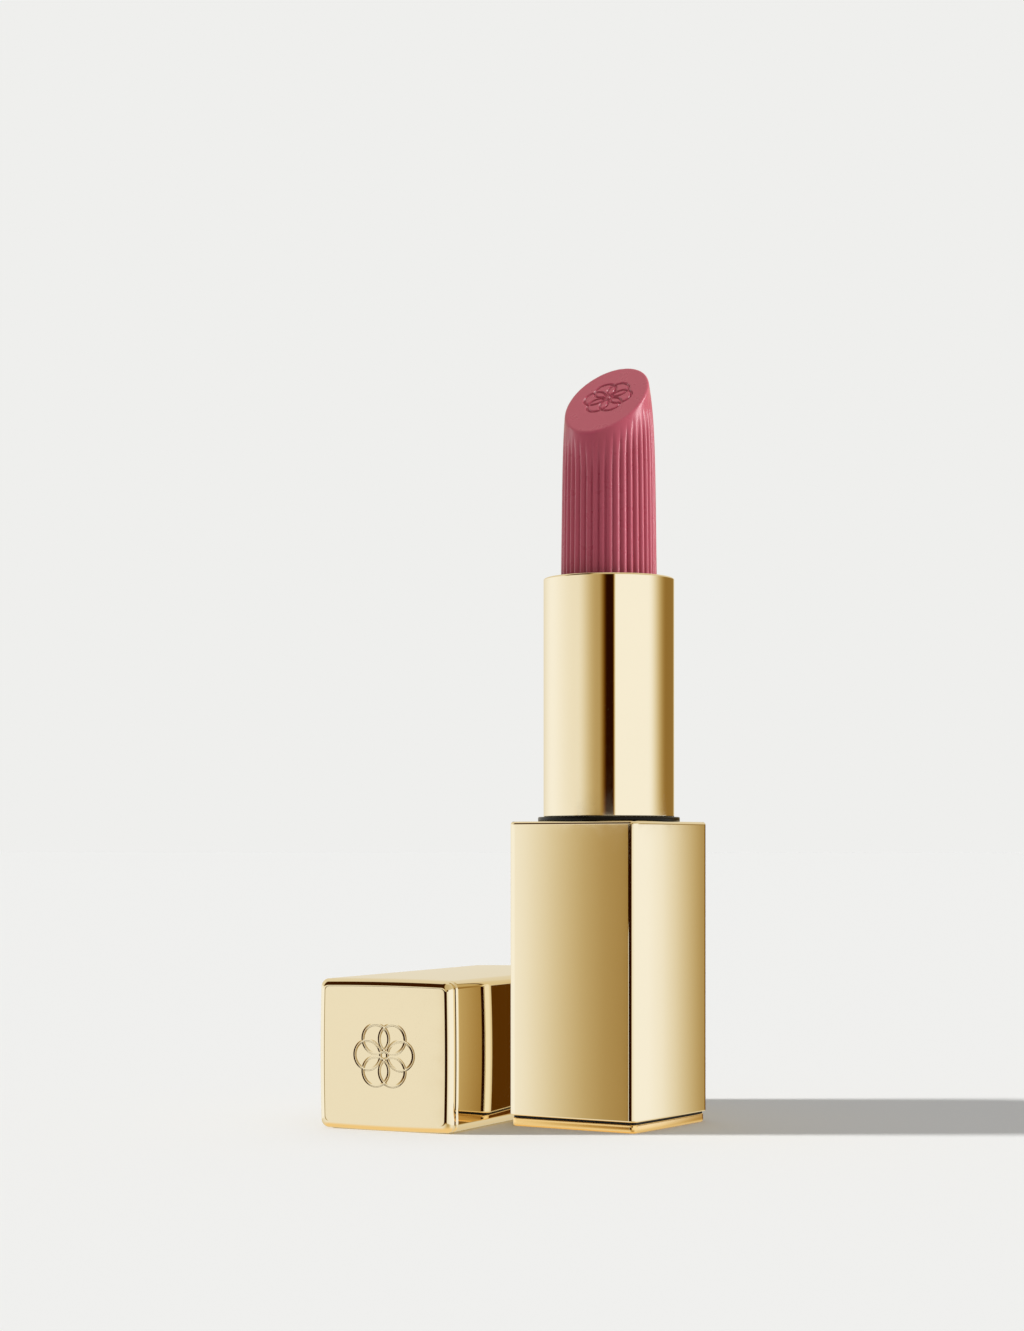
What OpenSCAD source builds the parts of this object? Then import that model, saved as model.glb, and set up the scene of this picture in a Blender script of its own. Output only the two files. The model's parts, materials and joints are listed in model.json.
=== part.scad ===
// Square twist-up lipstick case: metal base and cap, round sleeve, fluted wax bullet.
// Millimetres. The origin is the centre of the foot's underside and +Z runs up the case.
// The case stands open and fully wound up; its cap lies on its side next to it.

/* [Case section] */
// width of the square base and cap across their flats
case_width = 18.7; // [15:0.1:26]
// radius of the four long corners of the base and cap
corner_radius = 0.8; // [0.3:0.1:3]
// radius of the small fillet round the end edges of the metal shells
edge_radius = 0.35; // [0.1:0.05:0.7]
// thickness of the metal shells
shell_wall = 0.45; // [0.3:0.05:0.8]

/* [Foot and base] */
// thickness of the metal foot plate
foot_thickness = 1.05; // [0.6:0.05:2]
// how far the foot plate stands in from the faces of the base
foot_inset = 0.3; // [0:0.05:1]
// height of the black groove above the foot and in the cap
groove_height = 0.3; // [0.1:0.05:1]
// how far the black grooves stand in from the faces of the case
groove_inset = 0.55; // [0.2:0.05:1.5]
// height of the top face of the base above the floor
base_height = 38.1; // [30:0.5:50]
// height of the liner floor that carries the turning mechanism
mechanism_floor = 25.5; // [20:0.5:30]

/* [Collar and sleeve] */
// outer radius of the black collar ring on top of the base
collar_radius = 8.95; // [8.5:0.05:9.2]
// thickness of the collar ring
collar_thickness = 0.6; // [0.3:0.1:2]
// outer radius of the metal sleeve
sleeve_radius = 8.25; // [7.6:0.05:8.4]
// wall thickness of the metal sleeve
sleeve_wall = 0.25; // [0.15:0.05:0.5]
// height of the rim of the sleeve above the floor
sleeve_top = 68.8; // [60:0.2:80]

/* [Twist mechanism] */
// travel of the cup and bullet
cup_travel = 27.5; // [20:0.5:29]
// rise of the spiral groove in one full turn of the sleeve
spiral_lead = 18; // [12:1:24]
// outer radius of the cup that holds the bullet
cup_radius = 6.55; // [6:0.05:6.8]
// height of the cup
cup_height = 9; // [6:0.5:12]
// radius of the two drive lugs on the cup
lug_radius = 0.9; // [0.5:0.05:1.2]
// gap between parts that turn or slide on one another
running_gap = 0.07; // [0.03:0.01:0.1]

/* [Bullet] */
// radius of the bullet where it leaves the sleeve
bullet_radius = 6.05; // [5:0.05:6.2]
// height of the tip of the bullet above the floor
bullet_top = 96; // [85:0.5:105]
// slope of the slanted face
slant_angle = 43.5; // [20:0.5:60]
// number of flutes round the bullet
flute_count = 40; // [12:2:60]
// depth of each flute
flute_depth = 0.16; // [0.05:0.01:0.4]

/* [Cap] */
// overall length of the cap
cap_length = 42; // [38:0.5:50]
// thickness of the end plate of the cap
cap_plate_thickness = 1.4; // [0.8:0.1:3]
// thickness of the dark gap between the end plate and the cap shell
cap_groove_height = 0.2; // [0.1:0.05:0.6]
// radial play of the cap liner on the sleeve
cap_play = 0.13; // [0.05:0.01:0.3]
// distance along X from the case axis to the cap axis at the closed end
cap_distance = 18.3; // [18:0.1:60]
// distance of the closed end in front of the case axis
cap_forward = 23.2; // [0:0.1:60]
// turn of the lying cap about the vertical, away from the base
cap_yaw = 6.7; // [0:0.1:90]

/* [Hidden] */

$fn = 96;
margin = 0.5;

label_radius = 6.3;
label_thickness = 0.12;
shell_bottom = foot_thickness + groove_height;
shell_bore_width = case_width - 2 * shell_wall;
liner_width = shell_bore_width - 0.1;
plug_width = case_width - 2 * groove_inset;
plug_top = shell_bottom + 1.1;

liner_floor = 1.5;
liner_top = base_height - shell_wall - 0.05;
weight_radius = 7.9;

cup_bore = cup_radius - 0.45;
inner_bore = cup_radius + running_gap;
inner_radius = inner_bore + 0.55;
cam_bore = inner_radius + running_gap;
cam_radius = sleeve_radius - sleeve_wall - 0.04;
collar_bore = cam_radius + running_gap;
liner_bore = collar_bore + 0.1;

flange_thickness = 1.8;
flange_top = mechanism_floor + flange_thickness;
cam_bottom = flange_top + 0.05;
cam_top = sleeve_top - 2;
inner_top = cam_top + 0.8;
cup_top = sleeve_top - 0.7;
cup_bottom = cup_top - cup_height;
lug_height = cup_bottom + 2.1;
slot_bottom = lug_height - cup_travel - lug_radius - 0.2;
slot_top = lug_height + lug_radius + 0.2;
slot_width = 2 * lug_radius + 0.2;
groove_radius = cam_radius - 0.23;
lug_reach = groove_radius - 0.1;
key_width = 1.5;

sleeve_bottom = base_height + collar_thickness + 0.05;
lip_radius = cup_radius + 0.2;

bullet_bottom = cup_bottom + 0.75;
shoulder_span = bullet_top - sleeve_top - 1.4;
slant_reach = 4.2;

cap_shell_top = cap_length - cap_plate_thickness - cap_groove_height;
cap_bore = sleeve_radius + cap_play;
cap_bore_depth = 34;
cap_mouth_recess = 0.3;
cap_floor_top = cap_bore_depth + 1;

GOLD = [0.86, 0.74, 0.5];
BLACK = [0.08, 0.08, 0.09];
STEEL = [0.62, 0.63, 0.65];
NATURAL = [0.88, 0.87, 0.83];
ROSE = [0.68, 0.33, 0.37];

// ---- shared shapes ----

// square with rounded corners, centred
module rounded_square(width, radius)
{
    square([width, width - 2 * radius], center = true);
    square([width - 2 * radius, width], center = true);
    for (x = [-1, 1], y = [-1, 1])
        translate([x * (width / 2 - radius), y * (width / 2 - radius)])
            circle(radius);
}

module rounded_prism(width, radius, bottom, top)
{
    translate([0, 0, bottom])
        linear_extrude(top - bottom)
            rounded_square(width, radius);
}

// side view of a prism whose bottom and top edges are rounded
module end_profile(width, bottom, top, bottom_fillet, top_fillet)
{
    half = width / 2;
    polygon([[-half, bottom + bottom_fillet], [-half + bottom_fillet, bottom],
             [half - bottom_fillet, bottom], [half, bottom + bottom_fillet],
             [half, top - top_fillet], [half - top_fillet, top],
             [-half + top_fillet, top], [-half, top - top_fillet]]);
    for (side = [-1, 1])
    {
        translate([side * (half - bottom_fillet), bottom + bottom_fillet])
            circle(bottom_fillet);
        translate([side * (half - top_fillet), top - top_fillet])
            circle(top_fillet);
    }
}

module end_profile_bar(width, bottom, top, bottom_fillet, top_fillet)
{
    rotate([90, 0, 0])
        linear_extrude(width + 2 * margin, center = true)
            end_profile(width, bottom, top, bottom_fillet, top_fillet);
}

// rounded prism with filleted end edges
module filleted_prism(width, bottom, top, bottom_fillet, top_fillet)
{
    intersection()
    {
        rounded_prism(width, corner_radius, bottom, top);
        end_profile_bar(width, bottom, top, bottom_fillet, top_fillet);
        rotate([0, 0, 90])
            end_profile_bar(width, bottom, top, bottom_fillet, top_fillet);
    }
}

module disc(radius, bottom, top)
{
    translate([0, 0, bottom])
        cylinder(h = top - bottom, r = radius);
}

module tube(inner, outer, bottom, top)
{
    difference()
    {
        disc(outer, bottom, top);
        disc(inner, bottom - margin, top + margin);
    }
}

// box reaching out both ways along X
module cross_bar(reach, width, bottom, top)
{
    translate([-reach, -width / 2, bottom])
        cube([2 * reach, width, top - bottom]);
}

// ---- base ----

module foot_plate()
{
    color(GOLD)
        difference()
        {
            filleted_prism(case_width - 2 * foot_inset, 0, foot_thickness, 0.25, 0.1);
            disc(label_radius + 0.1, -margin, label_thickness);
        }
}

// blank round label set flush into the foot plate
module shade_label()
{
    color(NATURAL)
        disc(label_radius, 0, label_thickness);
}

// black plug that closes the shell and shows as the groove above the foot
module foot_spacer()
{
    color(BLACK)
        rounded_prism(plug_width, 0.5, foot_thickness, plug_top);
}

module base_shell()
{
    color(GOLD)
        difference()
        {
            filleted_prism(case_width, shell_bottom, base_height, 0.15, edge_radius);
            rounded_prism(shell_bore_width, 0.4, shell_bottom - margin, base_height - shell_wall);
            disc(8.45, base_height - 2, base_height + margin);
        }
}

module base_weight()
{
    color(STEEL)
        disc(weight_radius, plug_top + 0.05, mechanism_floor - liner_floor - 0.2);
}

// plastic liner: weight pocket below, mechanism bore above
module base_liner()
{
    color(NATURAL)
    {
        difference()
        {
            rounded_prism(liner_width, 0.4, plug_top, liner_top);
            disc(weight_radius + 0.1, plug_top - margin, mechanism_floor - liner_floor);
            disc(liner_bore, mechanism_floor, liner_top + margin);
        }
        intersection()
        {
            tube(liner_bore - 0.45, liner_bore + 0.2, mechanism_floor - 0.2, flange_top - 0.1);
            cross_bar(case_width / 2, key_width, mechanism_floor - margin, flange_top);
        }
    }
}

module collar_ring()
{
    color(BLACK)
        difference()
        {
            union()
            {
                disc(collar_radius, base_height, base_height + collar_thickness);
                disc(8.4, liner_top, base_height);
            }
            disc(collar_bore, liner_top - margin, base_height + collar_thickness + margin);
        }
}

// fixed tube whose two straight slots stop the cup from turning
module inner_body()
{
    color(NATURAL)
        difference()
        {
            union()
            {
                disc(inner_radius, mechanism_floor, inner_top);
                disc(liner_bore - 0.05, mechanism_floor, flange_top);
                disc(inner_radius + 0.4, cam_top + 0.1, inner_top);
            }
            disc(inner_bore, mechanism_floor - margin, inner_top + margin);
            cross_bar(case_width / 2, slot_width, slot_bottom, slot_top);
            tube(inner_radius - 0.28, case_width, flange_top + 1.3, flange_top + 2.3);
            for (side = [-1, 1])
                translate([side * liner_bore, 0, mechanism_floor - margin])
                    translate([-0.5, -key_width / 2 - 0.1, 0])
                        cube([1, key_width + 0.2, flange_thickness + 2 * margin]);
        }
}

// soft ring in a groove of the inner body, rubbing on the spiral cam
module brake_ring()
{
    color(BLACK)
        tube(inner_radius - 0.26, inner_radius + 0.04, flange_top + 1.35, flange_top + 2.25);
}

// ---- sleeve, turned by hand ----

module sleeve()
{
    color(GOLD)
        rotate_extrude()
        {
            difference()
            {
                union()
                {
                    translate([lip_radius, sleeve_bottom])
                        square([sleeve_radius - lip_radius, sleeve_top - sleeve_bottom - 0.2]);
                    translate([lip_radius, sleeve_bottom])
                        square([sleeve_radius - lip_radius - 0.2, sleeve_top - sleeve_bottom]);
                    translate([sleeve_radius - 0.2, sleeve_top - 0.2])
                        circle(0.2);
                }
                translate([0, sleeve_bottom - margin])
                    square([sleeve_radius - sleeve_wall, sleeve_top - sleeve_bottom + margin - 0.4]);
            }
        }
}

// one start of the spiral groove: a sector swept up the helix
module spiral_groove()
{
    half_sector = 22.5;
    degrees_per_mm = 360 / spiral_lead;
    sector_arc = [for (step = [-3 : 3])
                  groove_radius * [cos(step * half_sector / 3), sin(step * half_sector / 3)]];
    translate([0, 0, slot_bottom])
        rotate([0, 0, (slot_bottom - lug_height) * degrees_per_mm])
            linear_extrude(slot_top - slot_bottom, twist = -(slot_top - slot_bottom) * degrees_per_mm,
                           slices = 72, segments = 10)
                polygon(concat([[4, 0]], sector_arc));
}

module spiral_cam()
{
    color(NATURAL)
        difference()
        {
            tube(cam_bore, cam_radius, cam_bottom, cam_top);
            for (start = [0, 180])
                rotate([0, 0, start])
                    spiral_groove();
        }
}

// ---- cup and bullet ----

module cup()
{
    color(NATURAL)
        difference()
        {
            union()
            {
                disc(cup_radius, cup_bottom, cup_top);
                translate([-lug_reach, 0, lug_height])
                    rotate([0, 90, 0])
                        cylinder(h = 2 * lug_reach, r = lug_radius);
            }
            disc(cup_bore, cup_bottom + 0.7, cup_top + margin);
            disc(2, cup_bottom - margin, cup_top);
        }
}

// radius of the uncut bullet: a faint taper, then a shoulder that closes in quickly
function bullet_radius_at(z) =
    let (above = max(0, z - sleeve_top))
    bullet_radius - 0.012 * above - 1.1 * pow(above / shoulder_span, 6);

module bullet_dome()
{
    dome_steps = 12;
    dome_height = bullet_top - sleeve_top;
    dome_profile = [for (step = [0 : dome_steps])
                    let (z = sleeve_top + dome_height * step / dome_steps)
                    [bullet_radius_at(z), z]];
    rotate_extrude()
        polygon(concat([[0, bullet_bottom], [bullet_radius, bullet_bottom]], dome_profile,
                       [[0, bullet_top]]));
}

module flutes()
{
    flute_radius = 0.3;
    for (index = [0 : flute_count - 1])
        rotate([0, 0, index * 360 / flute_count])
            translate([bullet_radius + flute_radius - flute_depth, 0, cup_top + 0.1])
                cylinder(h = bullet_top - cup_top, r = flute_radius, $fn = 16);
}

// everything above the slanted face, which looks towards -Y
module slant_cut()
{
    translate([0, slant_reach, bullet_top])
        rotate([slant_angle, 0, 0])
            translate([-case_width, -2 * case_width, 0])
                cube([2 * case_width, 4 * case_width, case_width]);
}

module bullet()
{
    color(ROSE)
        difference()
        {
            bullet_dome();
            flutes();
            slant_cut();
        }
}

// ---- cap, drawn standing on its mouth and then laid on its side ----

module lay_cap_down()
{
    translate([-cap_distance, -cap_forward, case_width / 2])
        rotate([0, 0, cap_yaw])
            translate([0, cap_length, 0])
                rotate([90, 0, 0])
                    children();
}

module cap_shell()
{
    color(GOLD)
        lay_cap_down()
            difference()
            {
                filleted_prism(case_width, 0, cap_shell_top, 0.15, edge_radius);
                rounded_prism(shell_bore_width, 0.4, -margin, cap_shell_top - shell_wall);
            }
}

// dark gasket that shows as the thin line behind the end plate
module cap_top_spacer()
{
    color(BLACK)
        lay_cap_down()
            rounded_prism(plug_width, 0.5, cap_shell_top, cap_shell_top + cap_groove_height);
}

// engraved ornament: a rosette of interlaced rings
module rosette()
{
    ring_count = 6;
    ring_radius = 1.8;
    ring_distance = 2.3;
    line_width = 0.2;
    for (index = [0 : ring_count - 1])
        rotate([0, 0, index * 360 / ring_count])
            translate([ring_distance, 0])
                difference()
                {
                    circle(ring_radius + line_width / 2);
                    circle(ring_radius - line_width / 2);
                }
}

module cap_top_plate()
{
    color(GOLD)
        lay_cap_down()
            difference()
            {
                filleted_prism(case_width, cap_length - cap_plate_thickness, cap_length, 0.15, 0.6);
                translate([0, 0, cap_length - 0.1])
                    linear_extrude(margin)
                        rosette();
            }
}

module cap_weight()
{
    color(STEEL)
        lay_cap_down()
            disc(7.5, cap_floor_top + 0.05, cap_shell_top - shell_wall - 0.05);
}

module cap_liner()
{
    color(NATURAL)
        lay_cap_down()
            difference()
            {
                rounded_prism(liner_width, 0.4, cap_mouth_recess, cap_floor_top);
                disc(cap_bore, -margin, cap_bore_depth);
            }
}

foot_plate();
shade_label();
foot_spacer();
base_shell();
base_weight();
base_liner();
collar_ring();
inner_body();
brake_ring();
sleeve();
spiral_cam();
cup();
bullet();
cap_shell();
cap_top_spacer();
cap_top_plate();
cap_weight();
cap_liner();
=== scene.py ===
"""Lipstick case: detailed surfaces, materials, studio and camera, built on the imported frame."""
import json
import math
import random

import bpy
import numpy as np
from mathutils import Matrix, Vector

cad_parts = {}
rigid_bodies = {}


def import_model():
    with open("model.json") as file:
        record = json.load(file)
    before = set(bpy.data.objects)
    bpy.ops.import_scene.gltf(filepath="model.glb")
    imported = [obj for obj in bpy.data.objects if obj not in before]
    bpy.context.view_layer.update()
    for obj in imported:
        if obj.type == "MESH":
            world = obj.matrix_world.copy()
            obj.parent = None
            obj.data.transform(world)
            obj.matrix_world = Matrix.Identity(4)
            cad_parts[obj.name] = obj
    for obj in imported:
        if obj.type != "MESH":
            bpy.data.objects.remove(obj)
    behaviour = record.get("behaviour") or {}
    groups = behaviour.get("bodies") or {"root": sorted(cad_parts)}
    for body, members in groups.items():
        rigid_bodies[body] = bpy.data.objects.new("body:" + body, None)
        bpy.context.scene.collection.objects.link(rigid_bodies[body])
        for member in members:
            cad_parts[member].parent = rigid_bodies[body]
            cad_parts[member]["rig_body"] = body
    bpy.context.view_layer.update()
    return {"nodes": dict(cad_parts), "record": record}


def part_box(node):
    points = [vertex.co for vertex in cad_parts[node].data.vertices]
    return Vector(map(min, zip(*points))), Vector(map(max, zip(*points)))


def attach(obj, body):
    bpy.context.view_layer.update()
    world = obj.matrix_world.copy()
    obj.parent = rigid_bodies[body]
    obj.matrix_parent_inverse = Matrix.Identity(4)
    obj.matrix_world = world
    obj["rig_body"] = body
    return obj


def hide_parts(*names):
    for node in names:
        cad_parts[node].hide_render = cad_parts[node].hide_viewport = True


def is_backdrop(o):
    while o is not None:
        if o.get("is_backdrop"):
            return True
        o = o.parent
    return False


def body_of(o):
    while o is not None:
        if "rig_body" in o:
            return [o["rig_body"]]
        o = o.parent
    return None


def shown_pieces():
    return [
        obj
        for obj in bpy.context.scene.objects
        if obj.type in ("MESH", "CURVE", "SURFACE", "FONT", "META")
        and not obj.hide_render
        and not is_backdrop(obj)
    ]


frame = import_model()

MM = 0.001
MOUNTS = {mount["name"]: mount for mount in frame["record"]["mounts"]}

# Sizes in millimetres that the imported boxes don't show.
CORNER_RADIUS = 1.0
SHELL_FILLET = 0.35
SHELL_WALL = 0.45
FACE_PILLOW = 0.10
SHELL_HOLE_RADIUS = 8.45
SLEEVE_WALL = 0.25
SLEEVE_FILLET = 0.2
CAP_MOUTH_RECESS = 0.3
FLUTE_COUNT = 40
FLUTE_DEPTH = 0.42
SLANT_DEGREES = 43.5
SLANT_TURN = 5.0
BULLET_RADIUS = 6.05
TIP_REACH = 4.4
PLATE_FILLET = 0.9
INSIDE_CORNER = 0.4
EDGE_BAND = 0.05
BOTTOM_FILLET = 0.15
FOOT_CORNER = 0.75
FOOT_LABEL_RADIUS = 6.5
COLLAR_WIDTH = 0.87
COLLAR_NECK_RADIUS = 8.4
SLEEVE_LIP_RADIUS = 6.75
TIP_ABOVE_CAD = 0.2
FACE_EDGE_SOFTNESS = 0.32
CAP_LENGTH = 42.0
CAP_PLATE_THICKNESS = 1.4
CAP_GROOVE = 0.2
PLATE_CROWN = 0.03
PLATE_FLAT_STEPS = 112

# Ornament radius, line width and line depth, in millimetres.
BULLET_ROSETTE = (3.2, 0.42, 0.3)
PLATE_ROSETTE = (4.1, 0.36, 0.012)

# Camera, fitted to the case: degrees, millimetres and the 36 mm wide picture side.
CAMERA_AZIMUTH = 32.8
CAMERA_DISTANCE = 328.5
CAMERA_HEIGHT = 34.55
CAMERA_SIDE = 12.24
LENS = 70.3
CAMERA_SHIFT = 0.1386

WORLD_FILL = 0.2
METAL_COLOR = (0.94, 0.85, 0.645)
FOOT_COLOR = (0.95, 0.68, 0.30)
WAX_COLOR = (0.45, 0.08, 0.122)
# Pale colour painted on sharp metal edges as a highlight.
EDGE_HIGHLIGHT_COLOR = (0.96, 0.87, 0.7)
FLOOR_COLOR = (0.86, 0.86, 0.845)
BACKGROUND = (0.863, 0.863, 0.847)


# ---- mesh helpers: all lengths in millimetres until the mesh is made ----

def rounded_section(half, corner, pillow=0.0, flat_steps=28, corner_steps=8):
    """Outline of a square with rounded corners and slightly crowned sides."""
    reach = half - pillow - corner
    edge = 0.06 / max(reach, 0.1)
    inner = np.linspace(-1 + edge, 1 - edge, flat_steps)
    flats = np.concatenate(([-1.0], inner, [1.0]))
    points = []
    for side in range(4):
        turn = side * math.pi / 2
        spin = np.array([[math.cos(turn), -math.sin(turn)], [math.sin(turn), math.cos(turn)]])
        for step in flats:
            out = half - pillow * step * step
            points.append(spin @ np.array([out, step * reach]))
        for step in range(1, corner_steps):
            angle = step / corner_steps * math.pi / 2
            points.append(spin @ np.array([reach + corner * math.cos(angle),
                                           reach + corner * math.sin(angle)]))
    return np.array(points)


def circle_like(section, radius):
    """Circle whose points lie in the same directions as those of a section."""
    angles = np.arctan2(section[:, 1], section[:, 0])
    return radius * np.column_stack((np.cos(angles), np.sin(angles)))


def circle(radius, steps=192):
    angles = np.arange(steps) * 2 * math.pi / steps
    return radius * np.column_stack((np.cos(angles), np.sin(angles)))


def ring(outline, z):
    """A flat outline lifted to one height."""
    return np.column_stack((outline, np.full(len(outline), z)))


def fillet_steps(radius, count=6):
    """(inset, drop) pairs round a quarter circle, from the side face to the end face."""
    angles = [step / count * math.pi / 2 for step in range(count + 1)]
    return [(radius * (1 - math.cos(a)), radius * (1 - math.sin(a))) for a in angles]


def loft(name, rings, material, body, closed_end=False, placement=None):
    """Skins a stack of equal rings and makes the piece ride on its body."""
    count = len(rings[0])
    points = np.concatenate(rings) * MM
    faces = []
    for level in range(len(rings) - 1):
        low = level * count
        for index in range(count):
            after = (index + 1) % count
            faces.append((low + index, low + after, low + count + after, low + count + index))
    if closed_end:
        last = (len(rings) - 1) * count
        faces.append(tuple(range(last, last + count)))
    mesh = bpy.data.meshes.new(name)
    mesh.from_pydata([tuple(point) for point in points], [], faces)
    mesh.validate()
    for polygon in mesh.polygons:
        polygon.use_smooth = True
    mesh.materials.append(material)
    piece = bpy.data.objects.new(name, mesh)
    bpy.context.scene.collection.objects.link(piece)
    if placement is not None:
        mesh.transform(placement)
    mesh.update()
    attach(piece, body)
    return piece


def smooth_step(low, high, value):
    t = np.clip((value - low) / (high - low), 0, 1)
    return t * t * (3 - 2 * t)


def rosette_lines(radius):
    """Points along a generic ornament of six interlaced rings."""
    ring_radius = 0.44 * radius
    distance = radius - ring_radius
    turn = np.linspace(0, 2 * math.pi, 220, endpoint=False)
    ring_points = ring_radius * np.column_stack((np.cos(turn), np.sin(turn)))
    centres = [distance * np.array([math.cos(a), math.sin(a)])
               for a in np.arange(6) * math.pi / 3]
    return np.concatenate([ring_points + centre for centre in centres])


def engraving_depth(points, lines, width, depth):
    """Depth of a round-bottomed engraved line at each point."""
    result = np.zeros(len(points))
    for start in range(0, len(points), 2000):
        block = points[start:start + 2000]
        gaps = block[:, None, :] - lines[None, :, :]
        nearest = np.sqrt((gaps ** 2).sum(axis=2).min(axis=1))
        result[start:start + 2000] = depth * (1 - smooth_step(0.1 * width, 0.6 * width, nearest))
    return result


# ---- materials ----

def new_material(name):
    material = bpy.data.materials.new(name)
    material.use_nodes = True
    return material, material.node_tree, material.node_tree.nodes["Principled BSDF"]


def add_noise(tree, scale, detail=4.0, stretch=(1, 1, 1)):
    coordinates = tree.nodes.new("ShaderNodeTexCoord")
    mapping = tree.nodes.new("ShaderNodeMapping")
    mapping.inputs["Scale"].default_value = stretch
    noise = tree.nodes.new("ShaderNodeTexNoise")
    noise.inputs["Scale"].default_value = scale
    noise.inputs["Detail"].default_value = detail
    tree.links.new(coordinates.outputs["Object"], mapping.inputs["Vector"])
    tree.links.new(mapping.outputs["Vector"], noise.inputs["Vector"])
    return noise.outputs["Fac"]


def add_range(tree, source, low, high, from_low=0.3, from_high=0.7):
    remap = tree.nodes.new("ShaderNodeMapRange")
    remap.inputs["From Min"].default_value = from_low
    remap.inputs["From Max"].default_value = from_high
    remap.inputs["To Min"].default_value = low
    remap.inputs["To Max"].default_value = high
    tree.links.new(source, remap.inputs["Value"])
    return remap.outputs["Result"]


def add_bump(tree, shader, height, distance, strength):
    bump = tree.nodes.new("ShaderNodeBump")
    bump.inputs["Distance"].default_value = distance
    bump.inputs["Strength"].default_value = strength
    tree.links.new(height, bump.inputs["Height"])
    tree.links.new(bump.outputs["Normal"], shader.inputs["Normal"])


def mix_colors(tree, factor, first, second):
    """Mix of two colours, each a fixed (red, green, blue) or another node's output."""
    mix = tree.nodes.new("ShaderNodeMix")
    mix.data_type = "RGBA"
    tree.links.new(factor, mix.inputs["Factor"])
    for socket, color in (("A", first), ("B", second)):
        if isinstance(color, tuple):
            mix.inputs[socket].default_value = (*color, 1)
        else:
            tree.links.new(color, mix.inputs[socket])
    return mix.outputs["Result"]


def add_math(tree, operation, first, second):
    """Maths node on an output and either a fixed number or another output."""
    node = tree.nodes.new("ShaderNodeMath")
    node.operation = operation
    tree.links.new(first, node.inputs[0])
    if isinstance(second, float):
        node.inputs[1].default_value = second
    else:
        tree.links.new(second, node.inputs[1])
    return node.outputs["Value"]


def polished_metal(name, color, low_roughness, high_roughness):
    """Anodised metal: faint clouding of colour and polish, and a painted highlight: a paler colour
    on sharp edges.
    """
    material, tree, shader = new_material(name)
    shader.inputs["Metallic"].default_value = 1.0
    cloud = add_noise(tree, 90, 3)
    darker = tuple(channel * 0.975 for channel in color)
    body = mix_colors(tree, cloud, darker, color)
    geometry = tree.nodes.new("ShaderNodeNewGeometry")
    # Painted highlight: the sharpest convex edges are mixed towards a pale colour, standing in for
    # the gleam along their bevels.
    painted_edge_highlight = add_range(tree, geometry.outputs["Pointiness"], 0.0, 0.35, 0.53, 0.62)
    tree.links.new(mix_colors(tree, painted_edge_highlight, body, EDGE_HIGHLIGHT_COLOR), shader.inputs["Base Color"])
    grain = add_noise(tree, 420, 5)
    tree.links.new(add_range(tree, grain, low_roughness, high_roughness),
                   shader.inputs["Roughness"])
    add_bump(tree, shader, add_noise(tree, 2600, 2), 0.00001, 0.015)
    return material


def moulded_plastic(name, color, roughness):
    material, tree, shader = new_material(name)
    grain = add_noise(tree, 1500, 4)
    shader.inputs["Specular IOR Level"].default_value = 0.2
    lighter = tuple(min(1.0, channel * 1.25 + 0.002) for channel in color)
    tree.links.new(mix_colors(tree, grain, color, lighter), shader.inputs["Base Color"])
    tree.links.new(add_range(tree, grain, roughness - 0.06, roughness + 0.08),
                   shader.inputs["Roughness"])
    add_bump(tree, shader, grain, 0.00003, 0.15)
    return material


def turned_steel(name):
    material, tree, shader = new_material(name)
    shader.inputs["Metallic"].default_value = 1.0
    rings = add_noise(tree, 900, 4, (0.02, 0.02, 1))
    tree.links.new(mix_colors(tree, rings, (0.45, 0.45, 0.46), (0.62, 0.62, 0.63)),
                   shader.inputs["Base Color"])
    tree.links.new(add_range(tree, rings, 0.25, 0.45), shader.inputs["Roughness"])
    return material


def satin_wax(name):
    """Moulded wax: opaque, with a satin skin and a faint mottling."""
    material, tree, shader = new_material(name)
    mottle = add_noise(tree, 260, 5)
    deeper = tuple(channel * 0.96 for channel in WAX_COLOR)
    tree.links.new(mix_colors(tree, mottle, deeper, WAX_COLOR), shader.inputs["Base Color"])
    tree.links.new(add_range(tree, add_noise(tree, 700, 4), 0.26, 0.34),
                   shader.inputs["Roughness"])
    shader.inputs["Specular IOR Level"].default_value = 0.35
    add_bump(tree, shader, add_noise(tree, 1400, 3), 0.00003, 0.08)
    return material


gold = polished_metal("pale_gold", METAL_COLOR, 0.025, 0.045)
foot_gold = polished_metal("foot_gold", FOOT_COLOR, 0.08, 0.12)
black = moulded_plastic("black_plastic", (0.003, 0.0025, 0.002), 0.3)
liner_black = moulded_plastic("liner_plastic", (0.03, 0.03, 0.03), 0.5)
natural = moulded_plastic("natural_plastic", (0.7, 0.69, 0.65), 0.4)
label_film = moulded_plastic("label_film", (0.62, 0.6, 0.56), 0.3)
steel = turned_steel("turned_steel")
wax = satin_wax("rose_wax")

CARRIED_OVER = {
    "shade_label": label_film,
    "foot_spacer": black,
    "base_weight": steel,
    "base_liner": liner_black,
    "inner_body": natural,
    "brake_ring": black,
    "spiral_cam": natural,
    "cup": natural,
    "cap_top_spacer": black,
    "cap_weight": steel,
    "cap_liner": liner_black,
}
for node_name, node_material in CARRIED_OVER.items():
    node_mesh = frame["nodes"][node_name].data
    node_mesh.materials.clear()
    node_mesh.materials.append(node_material)


# ---- base ----

def size_of(node):
    """Half width, bottom and top of a node on the case axis, in millimetres."""
    low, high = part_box(node)
    return (high[0] - low[0]) / 2 / MM, low[2] / MM, high[2] / MM


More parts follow.
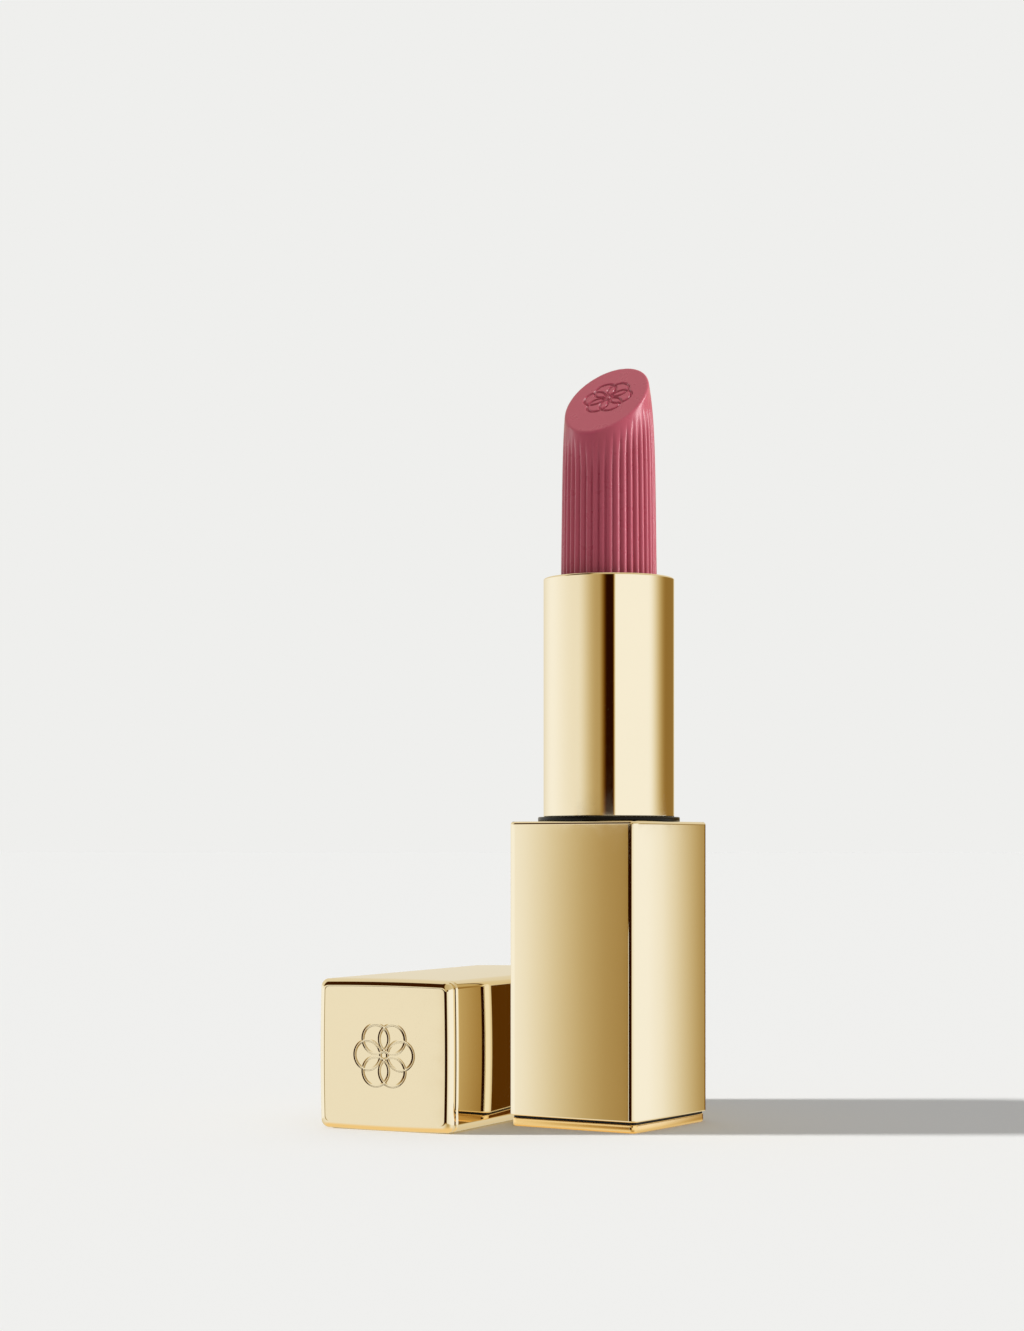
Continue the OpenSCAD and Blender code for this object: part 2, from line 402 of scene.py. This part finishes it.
def shell_rings(half, bottom, top, bottom_fillet, top_fillet):
    """Outer skin of a square shell, from its bottom edge to the start of its end face."""
    rings = []
    for inset, rise in reversed(fillet_steps(bottom_fillet, 4)):
        outline = rounded_section(half - inset, CORNER_RADIUS - min(inset, 0.5), FACE_PILLOW)
        rings.append(ring(outline, bottom + rise))
    low = bottom + bottom_fillet + EDGE_BAND
    high = top - top_fillet - EDGE_BAND
    outline = rounded_section(half, CORNER_RADIUS, FACE_PILLOW)
    for z in np.linspace(low, high, 24):
        rings.append(ring(outline, z))
    for inset, drop in fillet_steps(top_fillet):
        outline = rounded_section(half - inset, CORNER_RADIUS - min(inset, 0.5), FACE_PILLOW)
        rings.append(ring(outline, top - drop))
    return rings


def make_base_shell():
    half, bottom, top = size_of("base_shell")
    inside = rounded_section(half - SHELL_WALL, INSIDE_CORNER)
    rings = [ring(inside, bottom + 3), ring(inside, bottom)]
    rings += shell_rings(half, bottom, top, BOTTOM_FILLET, SHELL_FILLET)
    outer = rounded_section(half - SHELL_FILLET - EDGE_BAND, INSIDE_CORNER)
    hole = circle_like(outer, SHELL_HOLE_RADIUS)
    rings += [ring(outer, top), ring(hole, top), ring(hole, top - SHELL_WALL)]
    piece = loft("base_shell_skin", rings, gold, "base")
    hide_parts("base_shell")


def make_foot_plate():
    half, bottom, top = size_of("foot_plate")
    recess = circle_like(rounded_section(half, 0.5), FOOT_LABEL_RADIUS)
    rings = [ring(recess, bottom + 0.2), ring(recess, bottom)]
    edges = [(inset, bottom + rise) for inset, rise in reversed(fillet_steps(0.25, 4))]
    edges += [(inset, top - drop) for inset, drop in fillet_steps(0.1, 3)]
    for inset, z in edges:
        rings.append(ring(rounded_section(half - inset, FOOT_CORNER - inset, FACE_PILLOW), z))
    rings.append(ring(rounded_section(half - 0.2, 0.5), top))
    rings.append(ring(rounded_section(half - 4, 0.5), top))
    piece = loft("foot_plate_skin", rings, foot_gold, "base")
    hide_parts("foot_plate")


def make_collar():
    radius, bottom, top = size_of("collar_ring")
    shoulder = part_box("base_shell")[1][2] / MM
    bore = radius - COLLAR_WIDTH
    neck = COLLAR_NECK_RADIUS
    profile = [(bore, bottom), (neck, bottom), (neck, shoulder), (radius - 0.03, shoulder),
               (radius, shoulder + 0.04), (radius, top - 0.12), (radius - 0.04, top - 0.03),
               (radius - 0.12, top), (bore + 0.06, top), (bore, top - 0.06), (bore, bottom)]
    rings = [ring(circle(r), z) for r, z in profile]
    piece = loft("collar_skin", rings, black, "base")
    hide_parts("collar_ring")


# ---- sleeve ----

def make_sleeve():
    radius, bottom, top = size_of("sleeve")
    inner = radius - SLEEVE_WALL
    lip = SLEEVE_LIP_RADIUS
    profile = [(inner, bottom + 10), (inner, bottom), (inner + 0.05, bottom),
               (radius - 0.03, bottom), (radius, bottom + 0.04)]
    profile += [(radius, z) for z in np.linspace(bottom + 0.1, top - SLEEVE_FILLET - EDGE_BAND, 40)]
    profile += [(radius - inset, top - drop) for inset, drop in fillet_steps(SLEEVE_FILLET)]
    profile += [(radius - SLEEVE_FILLET - EDGE_BAND, top), (lip + 0.1, top),
                (lip + 0.03, top - 0.03), (lip, top - 0.1), (lip, top - 0.3),
                (lip + 0.1, top - 0.4), (inner, top - 0.4), (inner, top - 3)]
    rings = [ring(circle(r), z) for r, z in profile]
    piece = loft("sleeve_skin", rings, gold, "sleeve")
    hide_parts("sleeve")


# ---- bullet ----

def bullet_radius(z, rim, tip):
    """Radius of the uncut bullet: a faint taper, then a shoulder that closes in quickly."""
    above = np.maximum(0, z - rim)
    return BULLET_RADIUS - 0.012 * above - 0.95 * (above / (tip - rim - 1.4)) ** 6


def make_bullet():
    """Reeded stick cut off by a slanted face; its rings run from the sleeve to the face's centre."""
    seeded = random.Random(7)
    steps = FLUTE_COUNT * 14
    angles = np.arange(steps) * 2 * math.pi / steps
    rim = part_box("sleeve")[1][2] / MM
    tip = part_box("bullet")[1][2] / MM + TIP_ABOVE_CAD
    bottom = rim - 2.2
    slant = math.radians(SLANT_DEGREES)
    turn = math.radians(SLANT_TURN)
    along = np.array([math.cos(turn), math.sin(turn), 0])
    level_uphill = np.array([-math.sin(turn), math.cos(turn), 0])
    uphill = level_uphill * math.cos(slant) + np.array([0, 0, math.sin(slant)])
    normal = np.cross(along, uphill)
    outward = np.column_stack((np.cos(angles), np.sin(angles), np.zeros(steps)))
    toward_tip = outward @ level_uphill

    edge = np.full(steps, tip - 5.0)
    for _ in range(60):
        reach = bullet_radius(edge, rim, tip) * toward_tip
        edge = 0.7 * edge + 0.3 * (tip + (reach - TIP_REACH) * math.tan(slant))
    edge = np.minimum(edge, tip)

    strength = np.array([seeded.uniform(0.75, 1.15) for _ in range(FLUTE_COUNT)])
    flute = (angles * FLUTE_COUNT / (2 * math.pi)).astype(int)
    reed = np.abs(np.sin(angles * FLUTE_COUNT / 2))
    groove = (1 - reed ** 0.7) * strength[flute]

    rings = []
    levels = 110
    soft = FACE_EDGE_SOFTNESS
    for level in range(levels + 1):
        z = bottom + (edge - soft - bottom) * level / levels
        below_edge = edge - z
        fade = smooth_step(0.8, 6, below_edge) * 0.92 + 0.08 * smooth_step(0.4, 2, below_edge)
        radius = bullet_radius(z, rim, tip) - FLUTE_DEPTH * groove * fade
        rings.append(outward * radius[:, None] + np.array([0, 0, 1]) * z[:, None])

    corner = outward * bullet_radius(edge, rim, tip)[:, None]
    corner[:, 2] = edge
    centre = corner.mean(axis=0)
    centre[2] = tip + (centre @ level_uphill - TIP_REACH) * math.tan(slant)
    inward = centre - corner
    inward /= np.linalg.norm(inward, axis=1)[:, None]
    downward = rings[-1] - corner
    for share in (0.25, 0.5, 0.75):
        rings.append(corner + downward * (1 - share) ** 2 + inward * soft * share ** 2)

    start = corner + inward * soft
    ornament_radius, line_width, line_depth = BULLET_ROSETTE
    lines = rosette_lines(ornament_radius)
    for share in np.linspace(0, 1, 90)[:-1]:
        points = start + (centre - start) * share
        offset = points - centre
        flat = np.column_stack((offset @ along, offset @ uphill))
        depth = engraving_depth(flat, lines, line_width, line_depth)
        rings.append(points - normal * depth[:, None])
    piece = loft("bullet_skin", rings, wax, "carrier", closed_end=True)
    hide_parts("bullet")


# ---- cap, built standing on its mouth and then laid down ----

def cap_placement():
    bore = MOUNTS["cap_bore"]
    out = Vector(bore["axis"])
    reach = bore["dims"]["length_mm"] / 2 + CAP_MOUTH_RECESS
    mouth = Vector(bore["pos_m"]) + out * reach * MM
    across = Vector((out.y, -out.x, 0))
    placement = Matrix((across, Vector((0, 0, 1)), -out)).transposed().to_4x4()
    placement.translation = mouth
    return placement


def plate_outline(half, inset, corner):
    """Outline of the end plate, with flats fine enough to carry the engraving."""
    return rounded_section(half - inset, corner, FACE_PILLOW, PLATE_FLAT_STEPS)


def make_cap():
    placement = cap_placement()
    low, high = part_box("cap_shell")
    half = (high[2] - low[2]) / 2 / MM
    plate_low = CAP_LENGTH - CAP_PLATE_THICKNESS
    shell_top = plate_low - CAP_GROOVE

    inside = rounded_section(half - SHELL_WALL, INSIDE_CORNER)
    rings = [ring(inside, 6), ring(inside, 0)]
    rings += shell_rings(half, 0, shell_top, BOTTOM_FILLET, SHELL_FILLET)
    rings.append(ring(rounded_section(half - 0.9, INSIDE_CORNER), shell_top))
    shell = loft("cap_shell_skin", rings, gold, "cap", placement=placement)
    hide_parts("cap_shell")

    underside = rounded_section(half - 1.2, INSIDE_CORNER, flat_steps=PLATE_FLAT_STEPS)
    rings = [ring(underside, plate_low)]
    for inset, rise in reversed(fillet_steps(BOTTOM_FILLET, 3)):
        outline = plate_outline(half, inset, CORNER_RADIUS - inset)
        rings.append(ring(outline, plate_low + rise))

    def crowned(outline, drop):
        """Points of the end face's slight dome, lowered by a drop at each point."""
        away = (outline ** 2).sum(axis=1) / (2 * half ** 2)
        return np.column_stack((outline, CAP_LENGTH - PLATE_CROWN * away - drop))

    for inset, drop in fillet_steps(PLATE_FILLET, 14):
        rings.append(crowned(plate_outline(half, inset, CORNER_RADIUS - inset * 0.5), drop))
    border = plate_outline(half, PLATE_FILLET, CORNER_RADIUS - PLATE_FILLET * 0.5)
    ornament_radius, line_width, line_depth = PLATE_ROSETTE
    lines = rosette_lines(ornament_radius)
    for share in np.concatenate(([0.006], np.linspace(0.02, 0.99, 130))):
        outline = border * (1 - share)
        depth = engraving_depth(outline, lines, line_width, line_depth)
        rings.append(crowned(outline, depth))
    end_plate = loft("cap_plate_skin", rings, gold, "cap", closed_end=True,
                     placement=placement)
    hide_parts("cap_top_plate")


make_base_shell()
make_foot_plate()
make_collar()
make_sleeve()
make_bullet()
make_cap()


# ---- studio ----

camera_turn = math.radians(CAMERA_AZIMUTH)
to_camera = Vector((math.sin(camera_turn), -math.cos(camera_turn), 0))
camera_right = Vector((math.cos(camera_turn), math.sin(camera_turn), 0))


def add_warmth(tree, level):
    """Colour of the room light: white when full, golden when half, brown when dark."""
    channels = tree.nodes.new("ShaderNodeSeparateColor")
    tree.links.new(level, channels.inputs["Color"])
    tint = tree.nodes.new("ShaderNodeCombineColor")
    for channel, exponent in (("Red", 1.0), ("Green", 1.45), ("Blue", 2.6)):
        tree.links.new(add_math(tree, "POWER", channels.outputs["Red"], exponent),
                       tint.inputs[channel])
    return tint.outputs["Color"]


# The studio round the horizon, as (angle from the camera to its right, level): white panels at
# about 1, a dim side at 0.3 and dark flags near 0, with soft edges between them. Above the
# camera's height it is what the sleeve mirrors, below it what the base mirrors.
UPPER_WALL = [
    (-180, 0.8), (-120, 1.0), (-60, 0.9), (-20, 0.5), (-5, 0.02), (5, 0.02), (10, 1.0),
    (70, 1.0), (120, 0.3), (150, 0.3), (170, 0.8),
]
LOWER_WALL = [
    (-180, 0.8), (-120, 1.0), (-70, 1.0), (-60, 0.4), (-59, 0.02), (-20, 0.02), (-10, 0.9),
    (30, 1.0), (115, 1.0), (125, 0.2), (170, 0.1), (180, 0.8),
]
# A white card low down at the left, which the cap's end plate mirrors.
CAP_CARD = [(-59, None), (-58, 0.9), (-53, 0.9), (-52, 0.02), (-20, 0.02), (-18, None)]
# Well above and well below the horizon, where rounded edges and other viewpoints look.
CEILING_EDGE = [(-180, 0.8), (-90, 0.8), (-80, 0.04), (-40, 0.04), (-30, 0.6), (180, 0.8)]
FLOOR_EDGE = [(-180, 0.7), (-60, 0.9), (0, 0.5), (60, 0.9), (180, 0.7)]
# Rise of a mirrored ray, as the sine of its elevation, over which one part of the room takes over
# from the next.
CAP_CARD_TOP = (-0.032, -0.028)
CAMERA_LEVEL = (0.0112, 0.0118)
CEILING_START = (0.12, 0.20)
OVERHEAD_START = (0.88, 0.97)
FLOOR_START = (-0.22, -0.125)
UNDERSIDE_START = (-0.8, -0.4)
OVERHEAD_GREY = (0.8, 0.8, 0.8)
AMBER = (0.93, 0.67, 0.32)


def direction_part(tree, direction, vector):
    dot = tree.nodes.new("ShaderNodeVectorMath")
    dot.operation = "DOT_PRODUCT"
    dot.inputs[1].default_value = vector
    tree.links.new(direction, dot.inputs[0])
    return dot.outputs["Value"]


def add_wall_ramp(tree, place, levels):
    """Ramp round the horizon; it is clear from a level of None to the next one."""
    ramp = tree.nodes.new("ShaderNodeValToRGB")
    tree.links.new(place, ramp.inputs["Fac"])
    ramp.color_ramp.interpolation = "EASE"
    stops = ramp.color_ramp.elements
    stops.remove(stops[1])
    stops[0].position = (levels[0][0] + 180) / 360
    for degrees, level in levels[1:]:
        stops.new((degrees + 180) / 360)
    for stop, (degrees, level) in zip(stops, levels):
        stop.color = (0, 0, 0, 0) if level is None else (level, level, level, 1)
    return ramp


def room_color(tree):
    """Colour of the room in the direction of a mirrored ray."""
    coordinates = tree.nodes.new("ShaderNodeTexCoord")
    direction = coordinates.outputs["Generated"]
    angle = add_math(tree, "ARCTAN2", direction_part(tree, direction, camera_right),
                     direction_part(tree, direction, to_camera))
    place = add_range(tree, angle, 0, 1, -math.pi, math.pi)
    rise = direction_part(tree, direction, Vector((0, 0, 1)))
    color = add_wall_ramp(tree, place, LOWER_WALL).outputs["Color"]
    cap_card = add_wall_ramp(tree, place, CAP_CARD)
    low_enough = add_range(tree, rise, 1, 0, *CAP_CARD_TOP)
    on_card = add_math(tree, "MULTIPLY", low_enough, cap_card.outputs["Alpha"])
    color = mix_colors(tree, on_card, color, cap_card.outputs["Color"])
    for wall, start in ((UPPER_WALL, CAMERA_LEVEL), (CEILING_EDGE, CEILING_START)):
        color = mix_colors(tree, add_range(tree, rise, 0, 1, *start), color,
                           add_wall_ramp(tree, place, wall).outputs["Color"])
    color = mix_colors(tree, add_range(tree, rise, 0, 1, *OVERHEAD_START), color, OVERHEAD_GREY)
    color = mix_colors(tree, add_range(tree, rise, 1, 0, *FLOOR_START), color,
                       add_wall_ramp(tree, place, FLOOR_EDGE).outputs["Color"])
    color = add_warmth(tree, color)
    return mix_colors(tree, add_range(tree, rise, 1, 0, *UNDERSIDE_START), color, AMBER)


def new_group(name, members):
    group = bpy.data.collections.new(name)
    for member in members:
        group.objects.link(member)
    return group


def make_world():
    """Plain backdrop for the camera, the room for mirrors, a little even light for the rest."""
    world = bpy.data.worlds.new("studio")
    bpy.context.scene.world = world
    world.use_nodes = True
    tree = world.node_tree
    tree.nodes.clear()
    path = tree.nodes.new("ShaderNodeLightPath")
    color = (WORLD_FILL, WORLD_FILL, WORLD_FILL)
    color = mix_colors(tree, path.outputs["Is Glossy Ray"], color, room_color(tree))
    color = mix_colors(tree, path.outputs["Is Camera Ray"], color, BACKGROUND)
    background = tree.nodes.new("ShaderNodeBackground")
    tree.links.new(color, background.inputs["Color"])
    output = tree.nodes.new("ShaderNodeOutputWorld")
    tree.links.new(background.outputs["Background"], output.inputs["Surface"])


def make_floor():
    mesh = bpy.data.meshes.new("floor")
    reach = 30.0
    mesh.from_pydata([(-reach, -reach, 0), (reach, -reach, 0), (reach, reach, 0),
                      (-reach, reach, 0)], [], [(0, 1, 2, 3)])
    material, tree, shader = new_material("pale_floor")
    shader.inputs["Base Color"].default_value = (*FLOOR_COLOR, 1)
    shader.inputs["Roughness"].default_value = 1.0
    shader.inputs["Specular IOR Level"].default_value = 0.0
    mesh.materials.append(material)
    floor = bpy.data.objects.new("floor", mesh)
    bpy.context.scene.collection.objects.link(floor)
    floor.visible_glossy = False
    floor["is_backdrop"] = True
    return floor


def make_sun(name, energy, softness, direction, receivers):
    data = bpy.data.lights.new(name, "SUN")
    data.energy = energy
    data.angle = math.radians(softness)
    sun = bpy.data.objects.new(name, data)
    sun.rotation_euler = direction.to_track_quat("-Z", "Y").to_euler()
    sun.visible_glossy = False
    sun.light_linking.receiver_collection = receivers
    bpy.context.scene.collection.objects.link(sun)


def make_softbox(name, energy, width, height, location, receivers, shines=False):
    """Rectangular soft light aimed at the bullet."""
    data = bpy.data.lights.new(name, "AREA")
    data.energy = energy
    data.shape = "RECTANGLE"
    data.size = width
    data.size_y = height
    softbox = bpy.data.objects.new(name, data)
    softbox.location = location
    aim = Vector((0, 0, 0.08)) - location
    softbox.rotation_euler = aim.to_track_quat("-Z", "Y").to_euler()
    softbox.visible_glossy = shines
    softbox.light_linking.receiver_collection = receivers
    bpy.context.scene.collection.objects.link(softbox)


def around(degrees, distance, height):
    """Place at an angle from the camera to its right, at a distance and height in metres."""
    turn = math.radians(degrees)
    return (to_camera * math.cos(turn) + camera_right * math.sin(turn)) * distance \
        + Vector((0, 0, height))


def make_lights(floor):
    bullet_skin = [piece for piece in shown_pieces() if piece.name == "bullet_skin"]
    stick = new_group("bullet_only", bullet_skin)
    case = new_group("case_only", [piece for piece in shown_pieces() if piece not in bullet_skin])
    ground = new_group("floor_only", [floor])
    height = math.radians(13)
    sideways = camera_right * math.cos(height) - Vector((0, 0, math.sin(height)))
    make_sun("side_light", 7.8, 5, sideways, ground)
    make_sun("top_light", 0.79, 100, Vector((0, 0, -1)), ground)
    make_softbox("case_softbox", 1.5, 0.3, 0.5, around(60, 0.5, 0.3), case)
    make_softbox("key_softbox", 3.9, 0.2, 0.5, around(84, 0.5, 0.35), stick, shines=True)
    make_softbox("edge_softbox", 0.5, 0.03, 0.6, around(-112, 0.5, 0.12), stick, shines=True)
    make_softbox("slant_softbox", 1.5, 0.3, 0.3, around(-30, 0.12, 0.62), stick)


def make_camera():
    data = bpy.data.cameras.new("camera")
    data.sensor_fit = "AUTO"
    data.sensor_width = 36
    data.lens = LENS
    data.shift_y = CAMERA_SHIFT
    data.clip_start = 0.01
    data.clip_end = 200
    camera = bpy.data.objects.new("camera", data)
    camera.location = ((to_camera * CAMERA_DISTANCE - camera_right * CAMERA_SIDE) * MM
                       + Vector((0, 0, CAMERA_HEIGHT * MM)))
    camera.rotation_euler = (math.pi / 2, 0, camera_turn)
    bpy.context.scene.collection.objects.link(camera)
    bpy.context.scene.camera = camera


bpy.context.scene.view_settings.view_transform = "Standard"
# The photo's base shows no mirror image of the cap beside it.
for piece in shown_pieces():
    if body_of(piece) == ["cap"]:
        piece.visible_glossy = False
make_world()
make_lights(make_floor())
make_camera()
